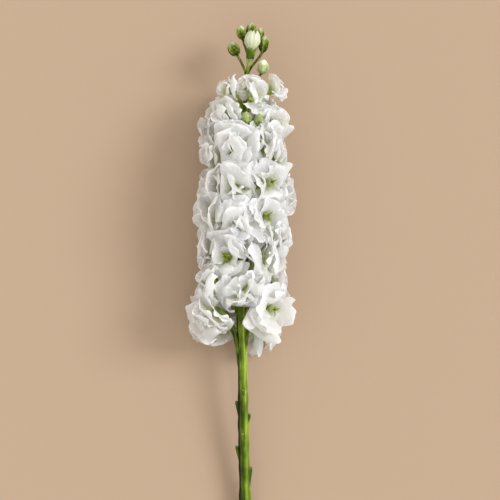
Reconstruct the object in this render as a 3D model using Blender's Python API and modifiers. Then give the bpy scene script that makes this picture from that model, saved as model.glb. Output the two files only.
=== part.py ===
"""A cut stem of double white stock, lying on a flat surface.

The stem runs along +Y, cut end first, and +Z is up. The origin is on the surface, under the middle
of the flower's box. The green body holds the stem, the stubs of its stripped leaves, the flower
stalks with their calyces, and the buds. Each bloom is a white body of its own, in its calyx's mouth.
"""

import math
import random

import bmesh
import bpy
import numpy as np
from mathutils import Matrix, Vector

# Every length below is in millimetres.
MM = 0.001

# The stem's centre line, cut end first: sideways, along, and height above the surface.
STEM_ROUTE = (
    (2.6, -194.5, 3.2),
    (1.6, -150.0, 7.5),
    (0.5, -90.0, 15.5),
    (-0.4, -35.0, 24.0),
    (-1.8, -5.0, 27.5),
    (-1.0, 37.0, 29.5),
    (1.0, 72.0, 30.0),
    (1.7, 107.0, 30.0),
    (1.4, 135.0, 30.0),
    (2.4, 155.0, 30.5),
    (4.6, 172.0, 32.0),
)
STEM_STEPS = 22
# The stem's radius at its cut end, at the neck under the lowest bloom, and at the top.
STEM_BUTT_RADIUS = 3.5
STEM_NECK_RADIUS = 2.6
STEM_TOP_RADIUS = 1.1
STEM_NECK_ALONG = -10.0

# Blooms, from the tip to the base. Each row has the bloom's place along the stem, its azimuth round
# the stem in degrees (0 to the right, 90 up, 270 down), how far its calyx's mouth stands from the
# stem's centre line, how far it leans towards the tip in degrees, the length of its petals, and how
# far they have opened. The first is a bud, whose petals are just showing.
BLOOMS = (
    (174, 84, 3, 86, 13, 0.0),
    (150, 152, 11, 40, 18, 0.9),
    (151, 79, 10, 32, 13, 0.9),
    (148, 12, 16, 35, 15, 0.6),
    (133, 139, 13, 30, 21, 1.0),
    (141, 66, 11, 45, 18, 0.9),
    (127, 22, 14, 25, 23, 1.0),
    (138, 255, 12, 35, 18, 1.0),
    (129, 318, 13, 30, 20, 1.0),
    (122, 197, 15, 20, 23, 1.0),
    (109, 52, 15, 22, 25, 1.0),
    (107, 112, 15, 20, 26, 1.0),
    (103, 178, 16, 20, 25, 1.0),
    (101, 3, 16, 18, 23, 1.0),
    (105, 240, 15, 20, 24, 1.0),
    (98, 299, 15, 20, 24, 1.0),
    (80, 108, 16, 15, 27, 1.0),
    (82, 40, 16, 15, 27, 1.0),
    (82, 172, 16, 15, 25, 1.0),
    (79, 229, 16, 15, 25, 1.0),
    (73, 340, 16, 15, 25, 1.0),
    (73, 284, 16, 15, 25, 1.0),
    (55, 103, 16, 12, 24, 1.0),
    (60, 47, 16, 12, 25, 1.0),
    (57, 171, 17, 12, 25, 1.0),
    (51, 236, 16, 10, 25, 1.0),
    (44, 5, 17, 10, 25, 1.0),
    (47, 302, 16, 10, 25, 1.0),
    (32, 118, 16, 10, 27, 1.0),
    (29, 40, 16, 10, 27, 1.0),
    (36, 190, 17, 10, 25, 1.0),
    (24, 247, 16, 5, 25, 1.0),
    (17, 353, 17, 5, 25, 1.0),
    (20, 302, 16, 5, 25, 1.0),
    (15, 150, 16, 5, 25, 1.0),
    (11, 84, 15, 0, 25, 1.0),
    (-5, 160, 18, 5, 27, 1.0),
    (-3, 27, 18, 0, 28, 1.0),
    (-14, 206, 17, -5, 25, 1.0),
    (-4, 255, 16, -2, 23, 1.0),
    (-20, 304, 16, -6, 23, 1.0),
    (2, 331, 17, 0, 24, 1.0),
)
# A bloom's azimuths between these face the surface that the flower lies on.
FACING_DOWN = (190, 345)

# Flower stalks. A stalk leaves the stem this far below its bloom, by the bloom's place along the
# stem. Its profile is the distance to the calyx's mouth, then the radius there.
STALK_DROPS = ((-20, 38), (20, 28), (60, 22), (150, 18))
STALK_RADIUS = 0.95
STALK_STEPS = 24
STALK_START_PULL = 0.55
STALK_END_PULL = 0.4
CALYX_RADIUS = 2.7
CALYX_PROFILE = ((10.0, 1.0), (6.0, 2.3), (0.0, CALYX_RADIUS))

# Each bloom fills a cell between its neighbours. The cell's centre is this share of a petal's
# length out from the mouth. A wall between two blooms keeps them this far from its middle, and
# slants, so that one bloom's rim lies over the other's.
CELL_CENTRE = 0.25
CELL_GAP = 0.75
WALL_SLANT = 0.75
WALL_SHARPNESS = 8.0
NEIGHBOUR_REACH = 60.0
# The wall on the stem's side, as a share of the mouth's reach from the stem.
INNER_WALL = 0.72
# Petals stop this far over the surface, and corners lower than the snap height lie flat on it.
FLOOR_GAP = 0.4
FLOOR_SNAP = 0.55

# Petals of one bloom, in whorls from the outside in: how many, how many sides each has, their share
# of the bloom's petal length, width over length, then in degrees the opening from the bloom's axis
# at root and at tip, the cupping across and the twist, and last the root's distance from the axis
# and its height over the calyx's mouth.
WHORLS = (
    (5, 6, 1.00, 1.20, 52, 92, 32, 20, 2.2, 1.0),
    (3, 6, 0.85, 1.15, 12, 40, 55, 30, 2.0, 2.5),
)
BUD_WHORLS = ((4, 6, 1.00, 0.80, 40, -42, 60, 22, 1.9, 1.0),)
PETAL_THICKNESS = 0.7
PETAL_STEPS = 32
# The notch in the middle of a petal's tip, and how far its shoulders stand past it, as shares of
# its length. The claw is the narrow foot, as a share of the width, and the eases say how soon the
# petal has opened and widened on its way from root to tip.
PETAL_NOTCH = 0.06
PETAL_SHOULDER = 0.14
PETAL_CLAW = 0.2
OPENING_EASE = 1.15
WIDENING_EASE = 1.7
# The height of the waves in a petal's rim, and how many run round it.
RUFFLE = 1.0
PETAL_WAVES = 4.5
# How far the petals of one bloom differ: in size, in curl, and in degrees at the tip, in place
# round the bloom, and from one whorl to the next.
SIZE_RANGE = (0.9, 1.1)
CURL_RANGE = (0.6, 1.2)
TIP_DRIFT = 12.0
PLACE_DRIFT = 10.0
WHORL_TURN = (30.0, 60.0)
# The heart that the petals grow from: its height, and its radius at foot and top as shares of the
# calyx's. It stands over the calyx's mouth by the seat gap.
HEART_HEIGHT = 4.5
HEART_FOOT = 0.8
HEART_FLARE = 1.3
SEAT_GAP = 0.3

# Green buds: where the stalk leaves the stem, the bud's foot and tip in space, and its radius.
BUDS = (
    (152, (-4.2, 171.5, 33.0), (-9.2, 180.5, 34.0), 3.9),
    (163, (-0.4, 183.0, 30.0), (-2.2, 192.5, 31.0), 3.3),
    (166, (5.2, 184.0, 29.0), (5.6, 195.0, 29.5), 3.3),
    (164, (11.0, 181.5, 31.5), (11.8, 191.0, 32.0), 2.6),
    (156, (13.0, 173.5, 33.0), (15.2, 185.5, 34.0), 3.1),
    (148, (12.4, 158.5, 36.5), (14.4, 168.0, 39.0), 3.8),
)
# A bud's outline: the share of its length from foot to tip, and of its radius there.
BUD_PROFILE = ((0.0, 0.35), (0.3, 0.95), (0.6, 1.0), (0.85, 0.65), (1.0, 0.25))
BUD_STALK_RADIUS = 0.8
BUD_STALK_STEPS = 4
BUD_OVERLAP = 0.1

# Stubs of the stripped leaves: foot along the stem, azimuth in degrees, length, and stand-off at
# the tip.
LEAF_STUBS = (
    (-84, 186, 15, 4.9),
    (-88, 8, 10, 4.8),
    (-68, 92, 8, 4.2),
    (-99, 100, 8, 4.4),
    (-116, 187, 15, 5.4),
    (-136, 5, 20, 4.9),
    (-140, 280, 14, 4.6),
    (-158, 110, 13, 5.0),
    (-168, 200, 14, 5.2),
    (-180, 350, 12, 5.0),
)
STUB_RADIUS = 1.35
STUB_SINK = 0.4
STUB_DIP = 0.3
STUB_SWELL = (0.8, 1.0, 0.7)
SHARP_EDGE = math.radians(50.0)

PETAL_WHITE = (0.86, 0.86, 0.82)
BUD_WHITE = (0.80, 0.84, 0.66)
STEM_GREEN = (0.20, 0.36, 0.07)
PETAL_ROUGHNESS = 0.6
STEM_ROUGHNESS = 0.5


def smooth(value):
    """Rises from 0 to 1 with a level start and end."""
    value = np.clip(value, 0.0, 1.0)
    return value * value * (3.0 - 2.0 * value)


def stem_point(along):
    """The stem's centre at a place along it, on a smooth curve through the route's points."""
    route = np.array(STEM_ROUTE)
    slopes = np.gradient(route, route[:, 1], axis=0)
    i = int(np.clip(np.searchsorted(route[:, 1], along) - 1, 0, len(route) - 2))
    span = route[i + 1, 1] - route[i, 1]
    s = (along - route[i, 1]) / span
    if not 0.0 <= s <= 1.0:
        end = route[i] if s < 0.0 else route[i + 1]
        return end + (along - end[1]) * (slopes[i] if s < 0.0 else slopes[i + 1])
    rise = s * s * (3.0 - 2.0 * s)
    bend = s * (1.0 - s) * ((1.0 - s) * slopes[i] - s * slopes[i + 1])
    return (1.0 - rise) * route[i] + rise * route[i + 1] + span * bend


def stem_frame(along):
    """The stem's direction there, with its right and its up at a right angle to it."""
    forward = stem_point(along + 1.0) - stem_point(along - 1.0)
    forward /= np.linalg.norm(forward)
    right = np.cross(forward, (0.0, 0.0, 1.0))
    right /= np.linalg.norm(right)
    return forward, right, np.cross(right, forward)


def stem_radius(along):
    """Thick at the cut end, slimmer at the lowest bloom, and thin at the top."""
    stations = (STEM_ROUTE[0][1], STEM_NECK_ALONG, STEM_ROUTE[-1][1])
    return float(np.interp(along, stations, (STEM_BUTT_RADIUS, STEM_NECK_RADIUS, STEM_TOP_RADIUS)))


def outward(along, azimuth):
    """The direction away from the stem, at a right angle to it, at an azimuth in degrees."""
    _, right, up = stem_frame(along)
    turn = math.radians(azimuth)
    return math.cos(turn) * right + math.sin(turn) * up


class Bloom:
    """Where one bloom's calyx opens, which way it faces, and the walls that its petals stay within."""

    def __init__(self, number, along, azimuth, reach, lean, petal_length, openness):
        self.name = f"bloom_{number:02d}" if number else "opening_bud"
        self.random = random.Random(number)
        self.petal_length = petal_length
        self.openness = openness
        self.faces_down = FACING_DOWN[0] < azimuth < FACING_DOWN[1]
        forward, _, _ = stem_frame(along)
        self.away = outward(along, azimuth)
        tilt = math.radians(lean)
        self.facing = math.cos(tilt) * self.away + math.sin(tilt) * forward
        self.stem = stem_point(along)
        self.foot_along = along - float(np.interp(along, *zip(*STALK_DROPS)))
        self.mouth = self.stem + reach * self.away
        self.reach = reach
        self.centre = self.mouth + CELL_CENTRE * petal_length * self.facing
        self.walls = []

    def frame(self):
        """The bloom's own axes in space, with its third axis along the way it faces."""
        side = np.cross((0.0, 1.0, 0.0), self.facing)
        side /= np.linalg.norm(side)
        return np.array((side, np.cross(self.facing, side), self.facing))

    def raise_walls(self, others):
        """Flat walls half way to each neighbour, one on the stem's side, and the surface below."""
        for other in others:
            apart = self.centre - other.centre
            distance = np.linalg.norm(apart)
            if other is self or distance > NEIGHBOUR_REACH:
                continue
            share = other.petal_length / (self.petal_length + other.petal_length)
            outwards = self.away + other.away
            outwards /= np.linalg.norm(outwards)
            side = 1.0 if self.name > other.name else -1.0
            inward = apart / distance + side * WALL_SLANT * outwards
            inward /= np.linalg.norm(inward)
            self.walls.append((other.centre + share * apart + CELL_GAP * inward, inward))
        self.walls.append((self.stem + INNER_WALL * self.reach * self.away, self.away))
        self.walls.append((np.array((0.0, 0.0, FLOOR_GAP)), np.array((0.0, 0.0, 1.0))))

    def confine(self, points):
        """Draws points towards the bloom's mouth, so that none passes a wall."""
        rays = points - self.mouth
        fill = np.zeros(len(points))
        for place, inward in self.walls:
            room = (self.mouth - place) @ inward
            fill = np.maximum(fill, -(rays @ inward) / room)
        shrink = (1.0 + fill**WALL_SHARPNESS) ** (-1.0 / WALL_SHARPNESS)
        return self.mouth + shrink[:, None] * rays


def petal_points(across, along, petal):
    """A petal's surface in the bloom's axes, for points of the unit disc, root at along = -1."""
    t = (along + 1.0) / 2.0
    t = t * (1.0 - PETAL_NOTCH + PETAL_SHOULDER * across**2)
    stations = np.linspace(0.0, 1.0, PETAL_STEPS + 1)
    opened = smooth(stations * OPENING_EASE)
    opening = petal["root"] + (petal["tip"] - petal["root"]) * opened
    step = petal["length"] / PETAL_STEPS
    out = np.concatenate(([0.0], np.cumsum(np.sin(opening[:-1]) * step)))
    up = np.concatenate(([0.0], np.cumsum(np.cos(opening[:-1]) * step)))
    out, up, lean = (np.interp(t, stations, column) for column in (out, up, opening))
    spread = PETAL_CLAW + (1.0 - PETAL_CLAW) * smooth(t * WIDENING_EASE)
    half = 0.5 * petal["width"] * spread
    cup, twist = petal["cup"], petal["twist"]
    sideways = half * np.sin(cup * across) / cup
    lift = half * (1.0 - np.cos(cup * across)) / cup
    sideways, lift = (
        sideways * math.cos(twist) - lift * math.sin(twist),
        sideways * math.sin(twist) + lift * math.cos(twist),
    )
    rim = np.hypot(across, along)
    wave = np.sin(PETAL_WAVES * np.arctan2(across, along) + petal["phase"])
    lift = lift + petal["ruffle"] * rim**3 * t * wave
    radius = petal["root_radius"] + out - lift * np.cos(lean)
    height = petal["root_height"] + up + lift * np.sin(lean)
    turn = petal["azimuth"]
    return np.stack(
        (
            radius * math.cos(turn) - sideways * math.sin(turn),
            radius * math.sin(turn) + sideways * math.cos(turn),
            height,
        ),
        axis=1,
    )


def petals_of(bloom):
    """The sizes and places of a bloom's petals, whorl by whorl."""
    draw = bloom.random
    turn = draw.uniform(0.0, 360.0)
    whorls = WHORLS if bloom.openness else BUD_WHORLS
    openness = bloom.openness or 1.0
    for count, sides, share, width, root, tip, cup, twist, from_axis, over_mouth in whorls:
        turn += draw.uniform(*WHORL_TURN)
        if bloom.faces_down and count > 3:
            count -= 1
        for place in range(count):
            length = bloom.petal_length * share * draw.uniform(*SIZE_RANGE)
            azimuth = turn + 360.0 * place / count + draw.uniform(-PLACE_DRIFT, PLACE_DRIFT)
            yield {
                "sides": sides,
                "azimuth": math.radians(azimuth),
                "length": length,
                "width": length * width * draw.uniform(*SIZE_RANGE),
                "root": math.radians(root * openness),
                "tip": math.radians((tip + draw.uniform(-TIP_DRIFT, TIP_DRIFT)) * openness),
                "cup": math.radians(cup * draw.uniform(*CURL_RANGE)),
                "twist": math.radians(twist),
                "root_radius": from_axis,
                "root_height": over_mouth,
                "ruffle": RUFFLE * draw.uniform(*CURL_RANGE),
                "phase": draw.uniform(0.0, math.tau),
            }


def link(obj, collection):
    """Puts a new object into the collection and hands it back."""
    collection.objects.link(obj)
    return obj


def petal_object(bloom, petal, collection):
    """One petal: a disc of triangles laid on the petal's surface and thickened."""
    disc = bmesh.new()
    bmesh.ops.create_circle(
        disc, cap_ends=True, cap_tris=True, segments=petal["sides"], radius=1.0
    )
    flat = -np.array([vertex.co for vertex in disc.verts])
    placed = petal_points(flat[:, 0], flat[:, 1], petal) @ bloom.frame()
    placed = bloom.confine(placed + bloom.mouth)
    for vertex, place in zip(disc.verts, placed):
        vertex.co = Vector(place * MM)
    mesh = bpy.data.meshes.new("petal")
    disc.to_mesh(mesh)
    disc.free()
    petal_body = link(bpy.data.objects.new("petal", mesh), collection)
    shell = petal_body.modifiers.new("thickness", "SOLIDIFY")
    shell.thickness = PETAL_THICKNESS * MM
    shell.offset = 0.0
    return petal_body


def heart_object(bloom, collection):
    """The short flaring heart of a bloom, which its petals grow from."""
    mesh = bpy.data.meshes.new(bloom.name)
    cone = bmesh.new()
    bmesh.ops.create_cone(
        cone,
        cap_ends=True,
        segments=6,
        radius1=CALYX_RADIUS * HEART_FOOT * MM,
        radius2=CALYX_RADIUS * HEART_FLARE * MM,
        depth=HEART_HEIGHT * MM,
    )
    cone.to_mesh(mesh)
    cone.free()
    middle = bloom.mouth + (SEAT_GAP + HEART_HEIGHT / 2.0) * bloom.facing
    axes = Matrix(bloom.frame().T.tolist()).to_4x4()
    mesh.transform(Matrix.Translation(Vector(middle * MM)) @ axes)
    return link(bpy.data.objects.new(bloom.name, mesh), collection)


def tube(name, points, radii, collection, bevel_resolution=0):
    """A closed mesh tube through the points, with its own radius at each."""
    curve = bpy.data.curves.new(name, "CURVE")
    curve.dimensions = "3D"
    curve.bevel_depth = MM
    curve.bevel_resolution = bevel_resolution
    curve.use_fill_caps = True
    spline = curve.splines.new("POLY")
    spline.points.add(len(points) - 1)
    for point, place, radius in zip(spline.points, points, radii):
        point.co = (*(np.array(place) * MM), 1.0)
        point.radius = radius
    guide = link(bpy.data.objects.new(name + "_guide", curve), collection)
    graph = bpy.context.evaluated_depsgraph_get()
    mesh = bpy.data.meshes.new_from_object(guide.evaluated_get(graph))
    bpy.data.objects.remove(guide)
    welded = bmesh.new()
    welded.from_mesh(mesh)
    bmesh.ops.remove_doubles(welded, verts=welded.verts, dist=0.0001 * MM)
    welded.to_mesh(mesh)
    welded.free()
    return link(bpy.data.objects.new(name, mesh), collection)


def volume_of(faces):
    """The signed volume that faces enclose, below zero where they bound a hollow."""
    outlines = [[corner.co for corner in face.verts] for face in faces]
    fans = [(o[0], o[i], o[i + 1]) for o in outlines for i in range(1, len(o) - 1)]
    return sum(a.dot(b.cross(c)) for a, b, c in fans) / 6.0


def keep_outer_surface(mesh):
    """Drops sealed hollows and loose scraps, so that one closed surface is left."""
    work = bmesh.new()
    work.from_mesh(mesh)
    left = set(work.faces)
    shells = []
    while left:
        shell = set()
        reached = [next(iter(left))]
        while reached:
            face = reached.pop()
            if face in shell:
                continue
            shell.add(face)
            reached.extend(other for edge in face.edges for other in edge.link_faces)
        left -= shell
        shells.append(shell)
    largest = max(shells, key=volume_of)
    spare = [face for shell in shells if shell is not largest for face in shell]
    bmesh.ops.delete(work, geom=spare, context="FACES")
    work.to_mesh(mesh)
    work.free()


def join(body, pieces, name, material, home):
    """Unites the pieces with the body by one Boolean, as a solid that lies flat on the surface."""
    union = body.modifiers.new("union", "BOOLEAN")
    union.operation = "UNION"
    union.operand_type = "COLLECTION"
    union.solver = "MANIFOLD"
    union.collection = pieces
    graph = bpy.context.evaluated_depsgraph_get()
    mesh = bpy.data.meshes.new_from_object(body.evaluated_get(graph))
    mesh.name = name
    keep_outer_surface(mesh)
    for vertex in mesh.vertices:
        if vertex.co.z < FLOOR_SNAP * MM:
            vertex.co.z = 0.0
    mesh.shade_smooth()
    mesh.set_sharp_from_angle(angle=SHARP_EDGE)
    mesh.materials.clear()
    mesh.materials.append(material)
    for piece in list(pieces.objects):
        bpy.data.objects.remove(piece)
    bpy.data.objects.remove(body)
    return link(bpy.data.objects.new(name, mesh), home)


def bent_path(foot, mouth, start, end, count):
    """Points on a smooth curve that leaves the foot along start and meets the mouth along end."""
    reach = np.linalg.norm(mouth - foot)
    leaving = foot + STALK_START_PULL * reach * start
    meeting = mouth - STALK_END_PULL * reach * end
    corners = (foot, leaving, meeting, mouth)
    for s in np.linspace(0.0, 1.0, count):
        weights = ((1 - s) ** 3, 3 * s * (1 - s) ** 2, 3 * s * s * (1 - s), s**3)
        yield sum(weight * corner for weight, corner in zip(weights, corners))


def flower_stalk(bloom, collection):
    """A bloom's stalk, which swells into the four-sided calyx that opens at the bloom's mouth."""
    foot = stem_point(bloom.foot_along)
    forward, _, _ = stem_frame(bloom.foot_along)
    path = list(bent_path(foot, bloom.mouth, forward, bloom.facing, STALK_STEPS))
    lengths = np.linalg.norm(np.diff(path, axis=0), axis=1)
    to_mouth = np.append(np.cumsum(lengths[::-1])[::-1], 0.0)
    swelling = [station for station, _ in CALYX_PROFILE]
    stations = (to_mouth[0], 0.5 * (to_mouth[0] + swelling[0]), *swelling)
    radii = [STALK_RADIUS, STALK_RADIUS, *(radius for _, radius in CALYX_PROFILE)]
    columns = np.array(path).T
    places = [[np.interp(-d, -to_mouth, column) for column in columns] for d in stations]
    return tube(bloom.name + "_stalk", places, radii, collection)


def bud_pieces(number, row, collection):
    """A bud and the stalk that it stands on."""
    foot_along, foot, tip, radius = row
    foot, tip = np.array(foot), np.array(tip)
    rise = tip - foot
    heading = rise / np.linalg.norm(rise)
    start = stem_point(foot_along)
    forward, _, _ = stem_frame(foot_along)
    path = list(bent_path(start, foot + BUD_OVERLAP * rise, forward, heading, BUD_STALK_STEPS))
    tube(f"bud_stalk_{number}", path, [BUD_STALK_RADIUS] * len(path), collection)
    stations = [foot + share * rise for share, _ in BUD_PROFILE]
    radii = [swell * radius for _, swell in BUD_PROFILE]
    return tube(f"bud_{number}", stations, radii, collection, bevel_resolution=1)


def leaf_stub(row, collection):
    """The foot of a stripped leaf's stalk, lying along the stem and standing off at its cut tip."""
    foot_along, azimuth, length, stand_off = row
    sink = STUB_SINK * stem_radius(foot_along)
    sunk = stem_point(foot_along) + sink * outward(foot_along, azimuth)
    tip_along = foot_along + length
    off = outward(tip_along, azimuth)
    tip = stem_point(tip_along) + stand_off * off
    middle = 0.45 * sunk + 0.55 * tip - STUB_DIP * off
    radii = [swell * STUB_RADIUS for swell in STUB_SWELL]
    return tube("leaf_stub", (sunk, middle, tip), radii, collection)


def green_body(blooms, pieces, material, home):
    """The stem with everything green that grows from it, as one solid."""
    ends = STEM_ROUTE[0][1], STEM_ROUTE[-1][1]
    stations = np.linspace(*ends, STEM_STEPS)
    centres = [stem_point(along) for along in stations]
    radii = [stem_radius(along) for along in stations]
    stem = tube("stem", centres, radii, home, bevel_resolution=1)
    for bloom in blooms:
        flower_stalk(bloom, pieces)
    for number, row in enumerate(BUDS, 1):
        bud_pieces(number, row, pieces)
    for row in LEAF_STUBS:
        leaf_stub(row, pieces)
    return join(stem, pieces, "stem", material, home)


def bloom_body(bloom, pieces, material, home):
    """One bloom: its petals on their heart."""
    heart = heart_object(bloom, home)
    for petal in petals_of(bloom):
        petal_object(bloom, petal, pieces)
    return join(heart, pieces, bloom.name, material, home)


def finish(name, colour, roughness):
    """A plain material of one colour."""
    material = bpy.data.materials.new(name)
    material.use_nodes = True
    shader = material.node_tree.nodes["Principled BSDF"]
    shader.inputs["Base Color"].default_value = (*colour, 1.0)
    shader.inputs["Roughness"].default_value = roughness
    shader.inputs["Metallic"].default_value = 0.0
    return material


def main():
    for obj in list(bpy.data.objects):
        bpy.data.objects.remove(obj)
    home = bpy.data.collections.new("stock_flower")
    pieces = bpy.data.collections.new("pieces")
    for collection in (home, pieces):
        bpy.context.scene.collection.children.link(collection)
    white = finish("petal_white", PETAL_WHITE, PETAL_ROUGHNESS)
    bud_white = finish("bud_white", BUD_WHITE, PETAL_ROUGHNESS)
    green = finish("stem_green", STEM_GREEN, STEM_ROUGHNESS)
    blooms = [Bloom(number, *row) for number, row in enumerate(BLOOMS)]
    for bloom in blooms:
        bloom.raise_walls(blooms)
    green_body(blooms, pieces, green, home)
    for bloom in blooms:
        bloom_body(bloom, pieces, white if bloom.openness else bud_white, home)
    bpy.data.collections.remove(pieces)


main()
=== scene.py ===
"""A cut stem of double white stock, lying on a painted board.

The frame's solids say where the flower lies and how large it is. The blooms have the same numbers
here, and a few of them are turned or moved a little. Every length here is in millimetres.
"""

import math
import random
from functools import partial

import bpy
import numpy as np
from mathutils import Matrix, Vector


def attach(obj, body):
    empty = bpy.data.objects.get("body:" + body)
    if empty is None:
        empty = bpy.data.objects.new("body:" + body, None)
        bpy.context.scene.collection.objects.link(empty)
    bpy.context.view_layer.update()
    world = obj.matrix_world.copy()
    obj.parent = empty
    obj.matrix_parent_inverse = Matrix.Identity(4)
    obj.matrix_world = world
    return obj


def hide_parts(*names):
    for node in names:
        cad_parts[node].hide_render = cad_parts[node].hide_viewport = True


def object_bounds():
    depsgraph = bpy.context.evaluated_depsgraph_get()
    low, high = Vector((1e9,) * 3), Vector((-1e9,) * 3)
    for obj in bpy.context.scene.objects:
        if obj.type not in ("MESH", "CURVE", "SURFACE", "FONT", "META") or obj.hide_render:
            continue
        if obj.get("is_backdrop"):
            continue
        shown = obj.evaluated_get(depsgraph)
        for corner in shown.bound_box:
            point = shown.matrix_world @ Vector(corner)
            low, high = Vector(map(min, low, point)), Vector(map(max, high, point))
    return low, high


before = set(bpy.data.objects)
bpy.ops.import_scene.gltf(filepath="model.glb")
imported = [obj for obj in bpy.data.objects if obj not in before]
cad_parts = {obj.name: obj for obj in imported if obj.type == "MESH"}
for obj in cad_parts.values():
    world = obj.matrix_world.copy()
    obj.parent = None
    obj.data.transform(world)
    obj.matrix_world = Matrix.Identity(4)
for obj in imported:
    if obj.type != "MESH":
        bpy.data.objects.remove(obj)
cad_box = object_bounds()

MM = 0.001

# The stem's centre line, cut end first: sideways, along, and height above the board.
STEM_ROUTE = (
    (2.6, -194.5, 3.2), (1.3, -150.0, 7.5), (0.0, -90.0, 15.5),
    (-0.8, -35.0, 24.0), (-1.8, -5.0, 27.5), (-1.0, 37.0, 29.5),
    (1.0, 72.0, 30.0), (1.7, 107.0, 30.0), (1.4, 135.0, 30.0),
    (2.4, 155.0, 30.5), (4.6, 172.0, 32.0),
)
STEM_NECK_ALONG = -10.0
# Its radius: at the cut end, at the neck under the lowest blooms, and at the top.
STEM_RADII = ((-194.5, 3.9), (STEM_NECK_ALONG, 3.1), (172.0, 1.1))
STEM_STEPS = 220
STEM_SIDES = 36
# Two sets of ridges wind along the stem: weight, how many round it, and how fast they wind.
RIDGE_DEPTH = 0.04
RIDGES = ((1.0, 6.0, 0.006), (0.4, 11.0, -0.008))
# The stem swells where leaves stood, by a share of its radius and over a length.
KNOT_SWELL = 0.10
KNOT_LENGTH = 4.0
# How far the cut slants, towards which heading round the stem, and how much stem it bends.
CUT_SLANT = 1.8
CUT_HEADING = 2.2
CUT_LENGTH = 12.0
CUT_HOLLOW = 0.25
CUT_STEP = 0.02
# The cut face: shares of its radius, and how pale the tissue is there. Pith fills the middle, a
# darker ring of vessels lies round it, and the skin closes it.
CUT_RINGS = (0.08, 0.4, 0.66, 0.78, 0.88, 0.97)
CUT_PALENESS = (1.0, 0.95, 0.8, 0.35, 0.55, 0.15)
# How yellow and light the stem's green is: all over; on its crests, with its furrows darker, as
# painted light and shade on the ridges; on the side that faces the sun lamp, as painted light; beyond
# its joint; and towards the tip.
STEM_LIME = -0.02
PAINTED_CREST_LIGHT = 0.07
PAINTED_LIT_SIDE_LIME = 0.26
PAINTED_LIT_SIDE_HEADING = 0.4
JOINT_LIME = 0.1
JOINT_ALONG = -64.0
JOINT_LENGTH = 2.0
TIP_LIME = 0.2
TIP_LIME_LENGTH = 80.0

# Stubs of the stripped leaves: foot along the stem, azimuth, length, and stand-off at the tip.
LEAF_STUBS = (
    (-84, 186, 15, 4.9), (-88, 8, 10, 4.8), (-68, 92, 8, 4.2),
    (-99, 100, 8, 4.4), (-116, 187, 15, 5.4), (-136, 5, 20, 4.9),
    (-140, 280, 14, 4.6), (-158, 110, 13, 5.0), (-168, 200, 14, 5.2),
    (-180, 350, 12, 5.0),
)
STUB_RADIUS = 1.35
STUB_SWELL = ((0.0, 0.8), (0.2, 1.1), (0.7, 1.05), (0.94, 0.85), (1.0, 0.5))
STUB_FLATNESS = 0.85
# How deep it is rooted in the stem, how its foot and tip weigh in its middle, and its sag.
STUB_ROOT = 0.45
STUB_MIDDLE = (0.45, 0.55)
STUB_SAG = 0.3
STUB_STEPS = 16

# Blooms, from the tip to the base: place along the stem, azimuth round it in degrees (0 to the
# right, 90 up), how far the calyx's mouth stands from the stem's centre line, lean towards the tip
# in degrees, and petal length. The first is the opening bud.
BLOOMS = (
    (174, 84, 3, 86, 13), (147, 152, 11, 40, 18), (149, 79, 10, 32, 11), (148, 12, 16, 35, 15),
    (130, 139, 13, 30, 21), (141, 66, 11, 45, 18), (124, 22, 14, 25, 23), (138, 255, 12, 35, 18),
    (129, 318, 13, 30, 20), (122, 197, 15, 20, 23), (109, 52, 15, 22, 25), (107, 112, 15, 20, 26),
    (103, 164, 16, 20, 25), (101, 14, 16, 18, 23), (105, 240, 15, 20, 24), (98, 299, 15, 20, 24),
    (80, 108, 16, 15, 27), (82, 40, 16, 15, 27), (80, 158, 16, 15, 25), (79, 229, 16, 15, 25),
    (73, 352, 16, 15, 25), (73, 284, 16, 15, 25), (55, 103, 16, 12, 24), (60, 47, 16, 12, 25),
    (59, 156, 17, 12, 25), (51, 236, 16, 10, 25), (44, 20, 17, 10, 25), (47, 302, 16, 10, 25),
    (32, 118, 16, 10, 27), (29, 40, 16, 10, 27), (36, 176, 17, 10, 25), (24, 247, 16, 5, 25),
    (17, 4, 17, 5, 25), (20, 302, 16, 5, 25), (15, 150, 16, 5, 25), (11, 84, 15, 0, 25),
    (-5, 160, 18, 5, 27), (-3, 27, 18, 0, 28), (-14, 206, 17, -5, 25), (-4, 255, 16, -2, 23),
    (-20, 304, 16, -6, 23), (2, 331, 17, 0, 24),
)
# How far those have opened that aren't fully open.
PARTLY_OPEN = {0: 0.0, 1: 0.9, 2: 0.9, 3: 0.6, 5: 0.9}
OPEN_HEARTS = (6, 17, 23, 28, 37)
GREEN_HEARTS = OPEN_HEARTS + (3, 11, 26, 34)
DRAPED = (1, 4, 6, 16, 22, 35, 36)
BROAD = (4, 12, 16, 18, 22, 24, 29, 32, 34, 36, 37, 39)
SMALL_BLOOM = 19.0
# Petals of blooms that face down, between these azimuths, have fewer grid points.
FACING_DOWN = (190, 345)
GRID_FACING_DOWN = 11
FINEST_GRID = 25

# How far a bloom's petals nod from where it faces, and where to in its own axes, for blooms on the
# left and on the right.
NOD_RANGE = (18.0, 42.0)
NOD_LEFT = 225.0
NOD_RIGHT = 315.0
NOD_SPREAD = 50.0
DRAPED_NOD = 36.0
DRAPED_HEADING = 1.5 * math.pi
DRAPED_SPREAD = 0.4
HEART_NOD = 0.3
HEART_LIFT = 0.6
# Blooms that face this much to a side nod less.
SIDE_FACING = 0.8
SIDE_NOD = 0.45

# The room of each bloom. Its centre is a share of a petal's length out from the mouth. Walls
# between neighbours slant, and rims may hang over them. One more wall stands on the stem's side.
CELL_CENTRE = 0.25
CELL_GAP = 0.75
WALL_SLANT = 0.75
WALL_SHARPNESS = 7.0
OVERHANG = 1.35
FULLNESS_RANGE = (0.84, 1.06)
NEIGHBOUR_REACH = 60.0
INNER_WALL = 0.6
BOARD_GAP = 0.4
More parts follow.
